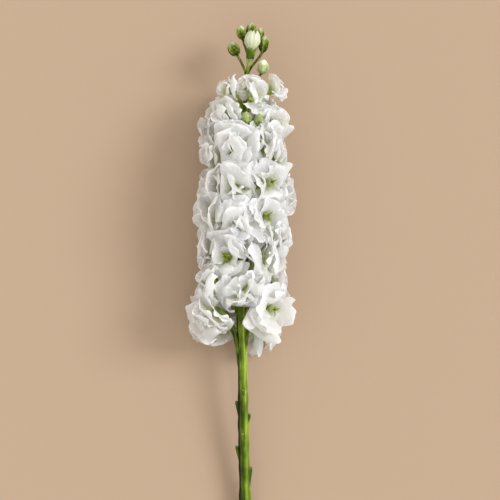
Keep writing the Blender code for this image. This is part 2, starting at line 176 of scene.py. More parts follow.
# Blooms that reach less far one way: that way, sideways and along, and the share left.
SHORT_SIDES = {
    1: (0, 1, 0.5), 2: (0, 1, 0.58), 3: (0, 1, 0.7), 4: (0, 1, 0.5),
    6: (0, 1, 0.5), 10: (0, 1, 0.72), 11: (0, 1, 0.66), 35: (0, -1, 0.36),
    36: (0.6, -0.8, 0.6), 37: (-0.6, -0.8, 0.56), 38: (0.3, -0.95, 0.6), 40: (0, -1, 0.85),
}
# How far the flower head stands to the left and to the right, at places along it.
SIDES = np.array((
    (-40, -16, 14), (-30, -22, 20), (-22, -33, 34), (-11, -39, 41), (-2, -41, 38), (6, -39, 32),
    (14, -34, 31), (25, -29, 32), (36, -30, 33), (46, -33, 33), (56, -33, 31), (65, -32, 31),
    (74, -31, 37), (83, -33, 38), (91, -31, 34), (99, -31, 29), (108, -33, 32), (116, -31, 30),
    (125, -31, 32), (133, -25, 30), (141, -18, 30), (150, -19, 35), (162, -17, 33),
))
SIDE_REACH = 0.9

# Petals of a bloom, in whorls from the outside in: how many, grid points across, share of the
# bloom's petal length, width over length, opening at root and at tip, where it starts to open,
# cupping and its spread, twist, the root's distance from the axis and height over the mouth, the
# share of the bloom's room that the whorl may fill, and how strongly it crumples.
WHORLS = (
    (5, 23, 0.96, 1.44, 60, 103, 0.00, -16, 20, 11, 2.2, 1.0, 1.16, 0.85),
    (4, 23, 0.98, 1.52, 42, 97, 0.10, -22, 26, 15, 2.0, 1.8, 1.05, 0.9),
    (4, 19, 0.98, 1.42, 24, 90, 0.28, -28, 36, 20, 1.8, 2.4, 1.00, 1.0),
    (3, 17, 0.94, 1.32, 8, 76, 0.40, -35, 46, 26, 1.5, 2.8, 0.97, 1.1),
    (3, 13, 0.80, 1.30, 0, 52, 0.40, -30, 60, 34, 1.0, 3.0, 0.96, 1.3),
)
# Broad blooms have fewer petals, which are wider and folded.
BROAD_WHORLS = (
    (4, 25, 1.02, 1.52, 64, 110, 0.00, -12, 20, 10, 2.2, 1.0, 1.16, 0.85),
    (4, 25, 1.00, 1.62, 40, 98, 0.08, -22, 26, 14, 2.0, 1.8, 1.05, 0.95),
    (3, 21, 0.92, 1.50, 14, 80, 0.30, -30, 40, 20, 1.6, 2.6, 0.98, 1.1),
    (3, 15, 0.80, 1.40, 0, 54, 0.40, -30, 60, 34, 1.0, 3.0, 0.96, 1.2),
)
# Blooms with open hearts have these after their first two whorls.
HEART_WHORLS = (
    (3, 19, 0.76, 1.26, 28, 86, 0.30, -20, 36, 22, 2.0, 2.6, 0.97, 1.0),
    (3, 13, 0.46, 1.15, 34, 80, 0.20, 0, 50, 30, 2.0, 3.0, 0.95, 1.3),
)
# Small blooms have only these of the first table's whorls.
SLIM_WHORLS = (0, 1, 3)
OPENNESS_RANGE = (0.85, 1.1)
WHORL_TURN = (30.0, 60.0)
PLACE_DRIFT = 24.0
SIZE_RANGE = (0.82, 1.12)
ROOM_RANGE = (0.76, 1.14)
TIP_DRIFT = 28.0
CURL_RANGE = (-40.0, 70.0)
SEED_RANGE = (0.0, 9.0)
# Petals on a bloom's low side grow longer and sag, more at the tip than at the root.
LOW_SIDE_DRIFT = 70.0
LOW_GROWTH = 0.10
ROOT_SAG = 8.0
TIP_SAG = 20.0

# A petal's outline: the notch at its tip, the shoulders beside it, and its narrow claw.
PETAL_NOTCH = 0.06
PETAL_SHOULDER = 0.14
PETAL_CLAW = 0.2
PETAL_STATIONS = 49
OPENING_EASE = 1.15
WIDENING_EASE = 1.7
PETAL_THICKNESS = 0.2
EDGE_THINNING = 0.6
GLOW_SHARPNESS = 7
# Its folds. Heights are for a petal of PETAL_REACH. An ease brings a fold in from the claw, and a
# sharpness keeps it to the rim.
PETAL_REACH = 25.0
RUFFLE_RANGE = (0.8, 1.4)
RIM_SHARPNESS = 6
FOLD_EASE = 2.0
ROLL = (-1.0, 2.6)
# Waves round the rim: heights, how many, and their sharpness.
WAVES = (
    ((1.2, 3.0), (1.6, 3.0), 2),
    ((0.6, 1.5), (4.0, 6.0), 4),
    ((0.4, 0.8), (8.0, 12.0), 6),
)
# Creases straight across: heights, and two sets of how many.
CREASE_HEIGHT = (0.8, 2.2)
CREASES = ((2.0, 3.5), (4.0, 7.0))
CREASE_EASE = 1.6
# Frills of the rim: heights, and how many.
FRILLS = (((0.9, 1.8), (5.0, 8.0)), ((0.3, 0.7), (10.0, 13.0)))
FRILL_EASE = 1.5
# Pleats that fan out from the claw: heights, how many, and their sharpness.
FAN = ((0.3, 0.8), (6.0, 9.0), 2.5)
# Scallops of the outline: depths as a share of the petal, and how many.
SCALLOPS = ((0.02, 0.05), (5.0, 9.0))
# The middle height of a pleat that rises from 0 to 1.
PLEAT_MIDDLE = 0.64

# The opening bud: its petals lie round one another, in an outer and a narrower inner round.
BUD_PETALS = 6
BUD_INNER_PETALS = 3
BUD_INNER_SHARE = 0.66
BUD_GRID = 21
BUD_HEIGHT = 15.2
BUD_HEIGHT_RANGE = (0.84, 1.0)
BUD_ROUND = (
    (0.0, 2.3), (0.15, 3.1), (0.36, 4.6), (0.56, 5.2), (0.74, 4.7), (0.88, 3.4), (1.0, 1.5),
)
BUD_HALF_ANGLE = ((0.0, 1.1), (0.5, 1.35), (1.0, 0.9))
BUD_TURN_DRIFT = 0.15
BUD_OVERLAP = 0.32
BUD_TIP_DRIFT = (-0.5, 1.0)
# Its ribs: depth, how many, and how they wind. Waves of a petal's rim: height, and how many.
BUD_RIBS = (0.13, 6.0, 1.2)
BUD_WAVES = (0.5, 5.0)

# How far below its bloom a stalk leaves the stem, at places along the stem.
STALK_DROPS = ((-20, 43), (20, 28), (60, 22), (150, 18))
STALK_RADIUS = 0.95
STALK_PULLS = (0.4, 0.28)
STALK_STEPS = 34
STALK_SIDES = 12
STALK_LIME = 0.02
# The calyx: distance to its mouth, then its radius.
CALYX_SWELL = (
    (0.0, 2.65), (2.0, 2.62), (4.5, 2.5), (6.5, 2.2), (8.5, 1.6), (10.5, 1.05), (12.0, 0.95),
)
CALYX_RADIUS = 2.7
CALYX_FADE = 4.0
CALYX_FURROW = 0.09
CALYX_LIME = 0.3
BUD_CALYX_LIME = 0.05
CALYX_PALENESS = 0.12
# Green hearts: two rounds of three small leaves, their lengths and how far they spread. They stand
# a share of a petal's length over the mouth, lower where the heart is open.
HEART_LEAVES = (((3.0, 5.0), 55.0), ((5.0, 7.5), 100.0))
HEART_SHARE = 0.42
OPEN_HEART_SHARE = 0.75

# A sepal: share of its length, then of its width.
SEPAL_OUTLINE = ((0.0, 0.95), (0.25, 1.0), (0.6, 0.8), (1.0, 0.25))
SEPAL_STATIONS = 25
SEPAL_GRID = 8
SEPAL_THICKNESS = 0.3
SEPAL_SIZE_RANGE = (0.9, 1.1)
SEPAL_TIP_DRIFT = 8.0
SEPAL_TIP_LIME = 0.3

# Green buds: where the stalk leaves the stem, the bud's foot and tip, its radius, its paleness.
GREEN_BUDS = (
    (152, (-4.2, 171.5, 33.0), (-9.2, 180.5, 34.0), 3.9, 0.1),
    (163, (-0.4, 183.0, 30.0), (-2.2, 192.5, 31.0), 3.3, 0.3),
    (166, (5.2, 184.0, 29.0), (5.6, 195.0, 29.5), 3.3, 0.1),
    (164, (11.0, 181.5, 31.5), (11.8, 191.0, 32.0), 2.6, 0.2),
    (156, (13.0, 173.5, 33.0), (15.2, 185.5, 34.0), 3.1, 0.1),
    (148, (12.4, 158.5, 36.5), (14.4, 168.0, 39.0), 3.8, 0.7),
    (100, (0.4, 117.5, 42.0), (2.2, 131.0, 52.0), 5.0, 0.0),
    (102, (9.0, 117.5, 42.0), (11.2, 129.5, 51.5), 4.0, 0.0),
)
GREEN_BUDS_SEED = 7
# A green bud: share of its length, then of its radius.
GREEN_BUD_SWELL = (
    (0.0, 0.28), (0.08, 0.6), (0.2, 0.86), (0.38, 1.0), (0.56, 1.0), (0.72, 0.88), (0.86, 0.62),
    (0.95, 0.36), (1.0, 0.08),
)
GREEN_BUD_STEPS = 20
GREEN_BUD_GRID = 11
PACKED_SHARE = 0.94
PACKED_FURROW = 0.05
# Four sepals are a green bud's case: half their angle round it along their length, how far up they
# reach, less on a pale bud, how much each lies over the last, and how far their sides stand off.
CASE_HALF_ANGLE = ((0.0, 0.9), (0.3, 0.95), (0.7, 0.75), (1.0, 0.2))
CASE_REACH = 0.97
CASE_DRAWBACK = 0.12
CASE_REACH_RANGE = (0.95, 1.0)
CASE_OVERLAP = 0.02
CASE_STAND_OFF = 0.25
CASE_THICKNESS = 0.28
BUD_STALK_RADII = (0.75, 0.95)
BUD_STALK_STEPS = 22
BUD_STALK_ENTRY = 0.12

# Veins are this far apart and this long, over half a petal's width and its length. Real ones,
# 0.4 mm apart, wouldn't show from the camera.
PETAL_HALF_WIDTH = 17.0
VEIN_SPACING = 1.5
VEIN_LENGTH = 10.0
VEIN_DRIFT = 3.0
VEIN_TINT = 0.12
# Crinkles left from the bud are this wide.
CRINKLE_SIZE = 2.6
GLOW_SPREAD = 0.1

# Tints of petals, from claw to rim. Open ones are cool white with pale yellow-green claws. Those
# packed in the bud are creamier, and green at the foot.
PETAL_TINTS = ((0.05, "#E0E69C"), (0.3, "#F9FAEE"), (0.5, "#FCFCFC"))
PACKED_TINTS = ((0.2, "#A9B660"), (0.45, "#E0E5B8"), (0.8, "#F1F3DE"))
# Greens of skins, from dark to light. On the stem, painted shade draws its furrows and the side away
# from the sun lamp towards the dark end, and painted light draws its crests and lit side towards the
# light end.
STEM_GREENS = ((0.3, "#111B00"), (0.52, "#3F500A"), (0.75, "#708622"), (1.0, "#A9BA48"))
STALK_GREENS = ((0.3, "#1B2703"), (0.52, "#4D5F14"), (0.75, "#7F932E"), (1.0, "#B4C25A"))
BUD_GREENS = ((0.28, "#141D00"), (0.48, "#444F0B"), (0.68, "#7A8A29"), (0.95, "#B8C776"))
BOARD_TINT = "#AC937B"
SUN_TINT = "#F4F9FF"
SKY_TINT = "#FBF8F3"

# The studio, in metres, but for the camera's sensor.
BOARD_HALF = 3
SUN_PLACE = (1.15, 0.42, 0.98)
SUN_AIM = (0.0, 0.03, 0.02)
SUN_WIDTH = 24.0
SUN_POWER = 2.2
SKY_POWER = 1.08
CAMERA_PLACE = (0.00455, 0.0368, 1.22)
VIEW_DISTANCE = 1.2
VIEW_WIDTH = 0.35
SENSOR_WIDTH = 36.0
# White petals behind petals turn grey when light stops bouncing too soon.
SURFACE_BOUNCES = 12
ALL_BOUNCES = 24


def smooth(value):
    """Rises from 0 to 1 with a level start and end."""
    value = np.clip(value, 0.0, 1.0)
    return value * value * (3.0 - 2.0 * value)


def any_turn(draw):
    """Some turn round a circle."""
    return draw.uniform(0.0, math.tau)


def profile(place, stations):
    """The value at a place, from stations that pair a place with its value."""
    return np.interp(place, *zip(*stations))


def stem_point(along):
    """The stem's centre at a place along it, on a smooth curve through the route's points."""
    route = np.array(STEM_ROUTE)
    slopes = np.gradient(route, route[:, 1], axis=0)
    i = int(np.clip(np.searchsorted(route[:, 1], along) - 1, 0, len(route) - 2))
    span = route[i + 1, 1] - route[i, 1]
    s = (along - route[i, 1]) / span
    if not 0.0 <= s <= 1.0:
        end = route[i] if s < 0.0 else route[i + 1]
        return end + (along - end[1]) * (slopes[i] if s < 0.0 else slopes[i + 1])
    rise = smooth(s)
    bend = s * (1.0 - s) * ((1.0 - s) * slopes[i] - s * slopes[i + 1])
    return (1.0 - rise) * route[i] + rise * route[i + 1] + span * bend


def stem_frame(along):
    """The stem's direction there, with its right and its up at a right angle to it."""
    forward = stem_point(along + 1.0) - stem_point(along - 1.0)
    forward /= np.linalg.norm(forward)
    right = np.cross(forward, (0.0, 0.0, 1.0))
    right /= np.linalg.norm(right)
    return forward, right, np.cross(right, forward)


def stem_radius(along):
    """Thick at the cut end, slimmer at the lowest bloom, and thin at the top."""
    return profile(along, STEM_RADII)


def outward(along, azimuth):
    """The direction away from the stem, at a right angle to it, at an azimuth in degrees."""
    _, right, up = stem_frame(along)
    turn = math.radians(azimuth)
    return math.cos(turn) * right + math.sin(turn) * up


def axes_along(direction, square_to=(0.0, 1.0, 0.3)):
    """Three axes at right angles, the third along the direction, the first square to another."""
    side = np.cross(square_to, direction)
    side /= np.linalg.norm(side)
    return np.array((side, np.cross(direction, side), direction))


class Bloom:
    """Where a bloom's calyx opens, which way it faces, and the walls its petals stay within."""

    def __init__(self, number, along, azimuth, reach, lean, petal_length):
        self.name = f"bloom_{number:02d}" if number else "opening_bud"
        self.random = random.Random(number)
        self.number = number
        self.azimuth = azimuth
        self.petal_length = petal_length
        self.openness = PARTLY_OPEN.get(number, 1.0)
        self.shows_heart = number in OPEN_HEARTS
        faces_down = FACING_DOWN[0] < azimuth < FACING_DOWN[1]
        self.finest_grid = GRID_FACING_DOWN if faces_down else FINEST_GRID
        forward, _, _ = stem_frame(along)
        tilt = math.radians(lean)
        self.away = outward(along, azimuth)
        self.facing = math.cos(tilt) * self.away + math.sin(tilt) * forward
        self.axes = axes_along(self.facing, (0.0, 1.0, 0.0))
        self.stem = stem_point(along)
        self.foot_along = along - float(profile(along, STALK_DROPS))
        self.mouth = self.stem + reach * self.away
        self.reach = reach
        self.centre = self.mouth + CELL_CENTRE * petal_length * self.facing
        self.fullness = self.random.uniform(*FULLNESS_RANGE)
        self.petal_axes = self.nodding_axes()
        self.side_shares = [self.side_share(SIDES[:, column]) for column in (1, 2)]
        self.walls = []

    def nodding_axes(self):
        """The bloom's axes, tipped as its own weight tips it on its stalk."""
        nod = math.radians(self.random.uniform(*NOD_RANGE))
        heading = NOD_LEFT if self.azimuth > 90 else NOD_RIGHT
        heading = math.radians(heading + self.random.uniform(-NOD_SPREAD, NOD_SPREAD))
        if self.shows_heart:
            nod *= HEART_NOD
        elif abs(math.cos(math.radians(self.azimuth))) > SIDE_FACING:
            nod *= SIDE_NOD
        if self.number in DRAPED:
            nod = math.radians(DRAPED_NOD)
            heading = DRAPED_HEADING + self.random.uniform(-DRAPED_SPREAD, DRAPED_SPREAD)
        nodding = self.facing + math.tan(nod) * (
            math.cos(heading) * self.axes[0] + math.sin(heading) * self.axes[1]
        )
        if self.shows_heart:
            nodding = nodding + HEART_LIFT * np.array((0.0, 0.0, 1.0))
        return axes_along(nodding / np.linalg.norm(nodding))

    def side_share(self, edge):
        """How much of its reach the bloom keeps, so that it ends at the left or right edge."""
        room = abs(np.interp(self.mouth[1], SIDES[:, 0], edge) - self.mouth[0])
        return min(1.0, room / (SIDE_REACH * self.petal_length))

    def raise_walls(self, others):
        """Flat walls half way to each neighbour, one on the stem's side, and the board below."""
        for other in others:
            apart = self.centre - other.centre
            distance = np.linalg.norm(apart)
            if other is self or distance > NEIGHBOUR_REACH:
                continue
            share = other.petal_length / (self.petal_length + other.petal_length)
            outwards = self.away + other.away
            outwards /= np.linalg.norm(outwards)
            side = 1.0 if self.name > other.name else -1.0
            inward = apart / distance + side * WALL_SLANT * outwards
            inward /= np.linalg.norm(inward)
            self.walls.append((other.centre + share * apart + CELL_GAP * inward, inward, OVERHANG))
        self.walls.append((self.stem + INNER_WALL * self.reach * self.away, self.away, 1.0))
        self.walls.append((np.array((0.0, 0.0, BOARD_GAP)), np.array((0.0, 0.0, 1.0)), 1.0))

    def confine(self, points, share):
        """Draws points towards the bloom's mouth, so that they stay in its share of the room."""
        rays = points - self.mouth
        distance = np.linalg.norm(rays, axis=1)
        across, along, shortest = SHORT_SIDES.get(self.number, (0, 1, 1.0))
        towards = np.maximum(0.0, (across * rays[:, 0] + along * rays[:, 1]) / distance)
        sideways = rays[:, 0] / distance
        narrowed = np.where(sideways < 0.0, *self.side_shares)
        reach = (1.0 - (1.0 - shortest) * towards**2) * (1.0 - (1.0 - narrowed) * sideways**2)
        fill = distance / (self.fullness * self.petal_length * share * reach)
        for place, inward, overhang in self.walls:
            leeway = share * overhang if overhang > 1.0 else min(share, 1.0)
            room = (self.mouth - place) @ inward * leeway
            fill = np.maximum(fill, -(rays @ inward) / room)
        return self.mouth + ((1.0 + fill**WALL_SHARPNESS) ** (-1.0 / WALL_SHARPNESS))[:, None] * rays


def disc_grid(count):
    """A square grid drawn in to the unit disc: across, along, its quads, and its rim in order."""
    side = np.linspace(-1.0, 1.0, count)
    u, v = (part.ravel() for part in np.meshgrid(side, side, indexing="ij"))
    across = u * np.sqrt(1.0 - v * v / 2.0)
    along = v * np.sqrt(1.0 - u * u / 2.0)
    index = np.arange(count * count).reshape(count, count)
    quads = np.stack((index[:-1, :-1], index[1:, :-1], index[1:, 1:], index[:-1, 1:]), axis=-1)
    rim = np.concatenate((index[:-1, 0], index[-1, :-1], index[:0:-1, -1], index[0, :0:-1]))
    return across, along, quads.reshape(-1, 4), rim


def petal_points(across, along, petal):
    """A petal's surface in the bloom's axes, for points of the unit disc, root at along = -1."""
    rim = np.hypot(across, along)
    turn = np.arctan2(across, along)
    deep, lobes, phase = petal["scallops"]
    scalloped = deep * rim**RIM_SHARPNESS * np.sin(lobes * turn + phase)
    t = (along + 1.0) / 2.0
    t = t * (1.0 - PETAL_NOTCH + PETAL_SHOULDER * across**2 + scalloped)

    # The petal's middle line bends outwards from its root to its tip.
    stations = np.linspace(0.0, 1.0, PETAL_STATIONS)
    opened = smooth((stations - petal["start"]) / (1.0 - petal["start"]) * OPENING_EASE)
    opening = petal["root"] + (petal["tip"] - petal["root"]) * opened
    opening = opening + petal["curl"] * stations**5
    step = petal["length"] / (PETAL_STATIONS - 1.0)
    out = np.concatenate(([0.0], np.cumsum(np.sin(opening[:-1]) * step)))
    up = np.concatenate(([0.0], np.cumsum(np.cos(opening[:-1]) * step)))
    out, up, lean = (np.interp(t, stations, column) for column in (out, up, opening))

    # Across that line it is cupped and twisted.
    half = 0.5 * petal["width"] * (PETAL_CLAW + (1.0 - PETAL_CLAW) * smooth(t * WIDENING_EASE))
    cup, twist = petal["cup"], petal["twist"]
    sideways = half * np.sin(cup * across) / cup
    lift = half * (1.0 - np.cos(cup * across)) / cup
    sideways, lift = (
        sideways * math.cos(twist) - lift * math.sin(twist),
        sideways * math.sin(twist) + lift * math.cos(twist),
    )

    # Its folds lift it off that surface.
    lift = lift - petal["roll"] * across**4 * smooth(FOLD_EASE * t)
    for height, waves, phase in petal["frills"]:
        eased = height * rim**RIM_SHARPNESS * smooth(FRILL_EASE * t)
        lift = lift + eased * np.sin(waves * turn + phase)
    height, pleats, sharpness, phase = petal["fan"]
    eased = height * rim**sharpness * smooth(FOLD_EASE * t)
    lift = lift + eased * (np.abs(np.sin(pleats * turn + phase)) - PLEAT_MIDDLE)
    for height, waves, sharpness, phase in petal["waves"]:
        lift = lift + height * rim**sharpness * t * np.sin(waves * turn + phase)
    for height, heading, pleats, phase in petal["creases"]:
        place = across * math.cos(heading) + along * math.sin(heading)
        fold = np.abs(np.sin(0.5 * (pleats * place + phase)))
        lift = lift + height * smooth(CREASE_EASE * t) * (fold - PLEAT_MIDDLE)

    radius = petal["root_radius"] + out - lift * np.cos(lean)
    height = petal["root_height"] + up + lift * np.sin(lean)
    turn = petal["azimuth"]
    return np.stack(
        (
            radius * math.cos(turn) - sideways * math.sin(turn),
            radius * math.sin(turn) + sideways * math.cos(turn),
            height,
        ),
        axis=1,
    )


def folds(draw, scale, heights, counts, *sharpness):
    """Folds round a petal: their height, how many, how sharp where that varies, and their turn."""
    return (draw.uniform(*heights) * scale, draw.uniform(*counts), *sharpness, any_turn(draw))


def petals_of(bloom):
    """The sizes, places and folds of a bloom's petals, whorl by whorl."""
    draw = bloom.random
    turn = draw.uniform(0.0, 360.0)
    openness = bloom.openness * draw.uniform(*OPENNESS_RANGE)
    low_side = 270.0 + draw.uniform(-LOW_SIDE_DRIFT, LOW_SIDE_DRIFT)
    ruffle = draw.uniform(*RUFFLE_RANGE)
    whorls = BROAD_WHORLS if bloom.number in BROAD else WHORLS
    if bloom.shows_heart:
        whorls = whorls[:2] + HEART_WHORLS
    if bloom.petal_length < SMALL_BLOOM:
        whorls = [WHORLS[i] for i in SLIM_WHORLS]
    for whorl in whorls:
        count, grid, share, width, root, tip, start, cup, cup_spread, twist = whorl[:10]
        from_axis, over_mouth, room, crumple = whorl[10:]
        turn += draw.uniform(*WHORL_TURN)
        for place in range(count):
            azimuth = turn + 360.0 * place / count + draw.uniform(-PLACE_DRIFT, PLACE_DRIFT)
            low = math.cos(math.radians(azimuth - low_side)) * bloom.openness
            length = bloom.petal_length * share * draw.uniform(*SIZE_RANGE) * (1.0 + LOW_GROWTH * low)
            scale = ruffle * crumple * length / PETAL_REACH
            yield {
                "grid": grid,
                "azimuth": math.radians(azimuth),
                "length": length,
                "width": length * width * draw.uniform(*SIZE_RANGE),
                "seed": draw.uniform(*SEED_RANGE),
                "root": math.radians(root * openness + ROOT_SAG * low),
                "tip": math.radians(
                    (tip + draw.uniform(-TIP_DRIFT, TIP_DRIFT)) * openness + TIP_SAG * low
                ),
                "curl": math.radians(draw.uniform(*CURL_RANGE) * openness),
                "start": start,
                "cup": math.radians(cup + draw.uniform(-cup_spread, cup_spread)),
                "twist": math.radians(twist),
                "root_radius": from_axis,
                "root_height": over_mouth,
                "room": room * draw.uniform(*ROOM_RANGE),
                "waves": [folds(draw, scale, *wave) for wave in WAVES],
                "creases": [
                    (
                        draw.uniform(*CREASE_HEIGHT) * scale / counts[0],
                        draw.uniform(0.0, math.pi),
                        draw.uniform(*counts),
                        any_turn(draw),
                    )
                    for counts in CREASES
                ],
                "roll": draw.uniform(*ROLL) * scale,
                "frills": [folds(draw, scale, *frill) for frill in FRILLS],
                "fan": folds(draw, scale, *FAN),
                "scallops": folds(draw, 1.0, *SCALLOPS),
            }


class Soup:
    """Points, faces and per-point values of one piece, gathered part by part."""

    def __init__(self, *values):
        self.points = []
        self.faces = []
        self.values = {name: [] for name in values}
        self.count = 0

    def add(self, points, faces, **values):
        self.faces.extend((np.asarray(face) + self.count).tolist() for face in faces)
        self.points.append(points)
        self.count += len(points)
        for name, parts in self.values.items():
            parts.append(np.broadcast_to(values[name], len(points)))

    def object(self, name, material):
        mesh = bpy.data.meshes.new(name)
        mesh.from_pydata(np.concatenate(self.points) * MM, [], self.faces)
        for label, parts in self.values.items():
            field = mesh.attributes.new(label, "FLOAT", "POINT")
            field.data.foreach_set("value", np.concatenate(parts).astype(np.float32))
        mesh.shade_smooth()
        mesh.set_sharp_from_angle(angle=math.radians(75.0))
        mesh.materials.append(material)
        piece = bpy.data.objects.new(name, mesh)
        bpy.context.scene.collection.objects.link(piece)
        return piece


def point_normals(points, quads):
    """A unit normal at each point of an open sheet of quads."""
    corners = points[quads]
    faces = np.cross(corners[:, 2] - corners[:, 0], corners[:, 3] - corners[:, 1])
    normals = np.zeros_like(points)
    for column in quads.T:
        np.add.at(normals, column, faces)
    return normals / np.maximum(np.linalg.norm(normals, axis=1), 1e-12)[:, None]


def shell(soup, points, quads, rim, thickness, **values):
    """A closed thin body on a sheet of points: its two faces and the strip round its rim."""
    offset = 0.5 * np.broadcast_to(thickness, len(points))[:, None] * point_normals(points, quads)
    n = len(points)
    both = np.concatenate((points + offset, points - offset))
    after = np.roll(rim, -1)
    strip = np.stack((rim, rim + n, after + n, after), axis=1)
    faces = np.concatenate((quads, quads[:, ::-1] + n, strip))
    doubled = {name: np.tile(np.broadcast_to(value, n), 2) for name, value in values.items()}
    soup.add(both, faces, **doubled)


def wrapped_petals(bloom, soup):
    """The opening bud: petals rolled round one another to a point, ribbed lengthwise."""
    draw = bloom.random
    across, along, quads, rim = disc_grid(BUD_GRID)
    t = (along + 1.0) / 2.0
    depth, ribs, wind = BUD_RIBS
    height_of_wave, waves = BUD_WAVES
    for place in range(BUD_PETALS + BUD_INNER_PETALS):
        inner = place >= BUD_PETALS
        height = t * BUD_HEIGHT * draw.uniform(*BUD_HEIGHT_RANGE)
        height = height + height_of_wave * t**4 * np.sin(waves * across + any_turn(draw))
        heading = math.tau * place / (BUD_INNER_PETALS if inner else BUD_PETALS)
        heading = heading + draw.uniform(-BUD_TURN_DRIFT, BUD_TURN_DRIFT)
        turn = heading + across * profile(t, BUD_HALF_ANGLE)
        away = profile(t, BUD_ROUND) + BUD_OVERLAP * across * smooth(2.0 * t)
        ribbed = np.abs(np.sin(ribs * turn + wind * t)) - PLEAT_MIDDLE
        away = away * (1.0 + depth * smooth(2.0 * t) * ribbed)
        away = away + draw.uniform(*BUD_TIP_DRIFT) * t**5
        if inner:
            away = away * BUD_INNER_SHARE * (1.0 - t**8)
        points = np.stack((away * np.cos(turn), away * np.sin(turn), height), axis=1)
        shell(
            soup, points @ bloom.axes + bloom.mouth, quads, rim, PETAL_THICKNESS,
            along=0.25 + 0.75 * t, across=across, seed=draw.uniform(*SEED_RANGE), edge=0.3,
        )


def bloom_piece(bloom, material):
    """A bloom's petals, open in whorls or still wrapped, as one piece."""
    soup = Soup("along", "across", "seed", "edge")
    if not bloom.openness:
        wrapped_petals(bloom, soup)
        return soup.object(bloom.name + "_petals", material)
    for petal in petals_of(bloom):
        across, along, quads, rim = disc_grid(min(petal["grid"], bloom.finest_grid))
        placed = petal_points(across, along, petal) @ bloom.petal_axes + bloom.mouth
        from_middle = np.hypot(across, along)
        shell(
            soup, bloom.confine(placed, petal["room"]), quads, rim,
            PETAL_THICKNESS * (1.0 - EDGE_THINNING * from_middle**RIM_SHARPNESS),
            along=(along + 1.0) / 2.0, across=across, seed=petal["seed"],
            edge=from_middle**GLOW_SHARPNESS,
        )
    return soup.object(bloom.name + "_petals", material)


def ring_frames(path):
    """The directions along a path, and two across it that turn as little as they can."""
    ahead = np.gradient(path, axis=0)
    ahead /= np.linalg.norm(ahead, axis=1)[:, None]
    side = np.cross(ahead[0], (0.0, 0.0, 1.0))
    sides = []
    for direction in ahead:
        side = side - (side @ direction) * direction
        side /= np.linalg.norm(side)
        sides.append(side)
    sides = np.array(sides)
    return ahead, sides, np.cross(sides, ahead)


def sweep(soup, path, radii, count, squash=1.0, slant=None, **values):
    """A closed body along a path. Its radii, and the values it carries, are one for each ring or
    one for each ring's points."""
    path = np.asarray(path)
    ahead, side, up = ring_frames(path)
    turn = np.arange(count) * math.tau / count
    radii = np.broadcast_to(np.asarray(radii).reshape(len(path), -1), (len(path), count))
    across = radii * np.cos(turn)
    over = radii * np.sin(turn) * squash
    rings = path[:, None] + across[..., None] * side[:, None] + over[..., None] * up[:, None]
    if slant is not None:
        rings = rings + slant[..., None] * ahead[:, None]
    rings[..., 2] = np.maximum(rings[..., 2], 0.0)
    ends = np.array((rings[0].mean(axis=0), rings[-1].mean(axis=0)))
    points = np.concatenate((rings.reshape(-1, 3), ends))
    index = np.arange(len(path) * count).reshape(len(path), count)
    after = np.roll(index, -1, axis=1)
    quads = np.stack((index[:-1], index[1:], after[1:], after[:-1]), axis=-1).reshape(-1, 4)
    first, last = len(points) - 2, len(points) - 1
    caps = [(first, index[0, i], after[0, i]) for i in range(count)]
    caps += [(last, after[-1, i], index[-1, i]) for i in range(count)]
    shown = {}
    for name, value in values.items():
        value = np.asarray(value, float)
        if value.ndim == 1:
            value = value[:, None]
        value = np.broadcast_to(value, (len(path), count))
        shown[name] = np.concatenate((value.ravel(), (value[0].mean(), value[-1].mean())))
    soup.add(points, [*quads, *caps], **shown)


def bent_path(foot, mouth, start, end, count):
    """Points on a smooth curve that leaves the foot along start and meets the mouth along end."""
    reach = np.linalg.norm(mouth - foot)
    leaving = foot + STALK_PULLS[0] * reach * start
    meeting = mouth - STALK_PULLS[1] * reach * end
    s = np.linspace(0.0, 1.0, count)[:, None]
    corners = (foot, leaving, meeting, mouth)
    weights = ((1 - s) ** 3, 3 * s * (1 - s) ** 2, 3 * s * s * (1 - s), s**3)
    return sum(weight * corner for weight, corner in zip(weights, corners))


def tip_lime(along):
    """How much yellower the green gets towards the tip."""
    return TIP_LIME * smooth((along - STEM_NECK_ALONG) / TIP_LIME_LENGTH)


def furrow(turn):
    """How deep in one of the four furrows of a calyx or a bud a place round it lies, up to 1."""
    return 1.0 - np.abs(np.cos(2.0 * turn))


def sepals(soup, draw, mouth, axes, count, radius, length, width, opening, turn, lime, pale):
    """Pointed leaves round a calyx's mouth or a heart, cupped round its axis. They lean out
    by one angle at the root and another at the tip."""
    across, along, quads, rim = disc_grid(SEPAL_GRID)
    t = (along + 1.0) / 2.0
    root, tip = opening
    stations = np.linspace(0.0, 1.0, SEPAL_STATIONS)
    steps = SEPAL_STATIONS - 1.0
    for place in range(count):
        heading = turn + math.tau * place / count
        reach = length * draw.uniform(*SEPAL_SIZE_RANGE)
        drift = draw.uniform(-SEPAL_TIP_DRIFT, SEPAL_TIP_DRIFT)
        leans = np.radians(root + (tip + drift - root) * stations)
        out = np.concatenate(([0.0], np.cumsum(np.sin(leans[:-1])))) * reach / steps
        up = np.concatenate(([0.0], np.cumsum(np.cos(leans[:-1])))) * reach / steps
        away = radius + np.interp(t, stations, out)
        height = np.interp(t, stations, up)
        half = 0.5 * width * profile(t, SEPAL_OUTLINE)
        bend = heading + across * half / np.maximum(away, 0.4 * radius)
        points = np.stack((away * np.cos(bend), away * np.sin(bend), height), axis=1)
        shell(
            soup, points @ axes + mouth, quads, rim, SEPAL_THICKNESS,
            lime=lime + SEPAL_TIP_LIME * t, pale=pale * smooth(2.0 * t - 1.0),
        )


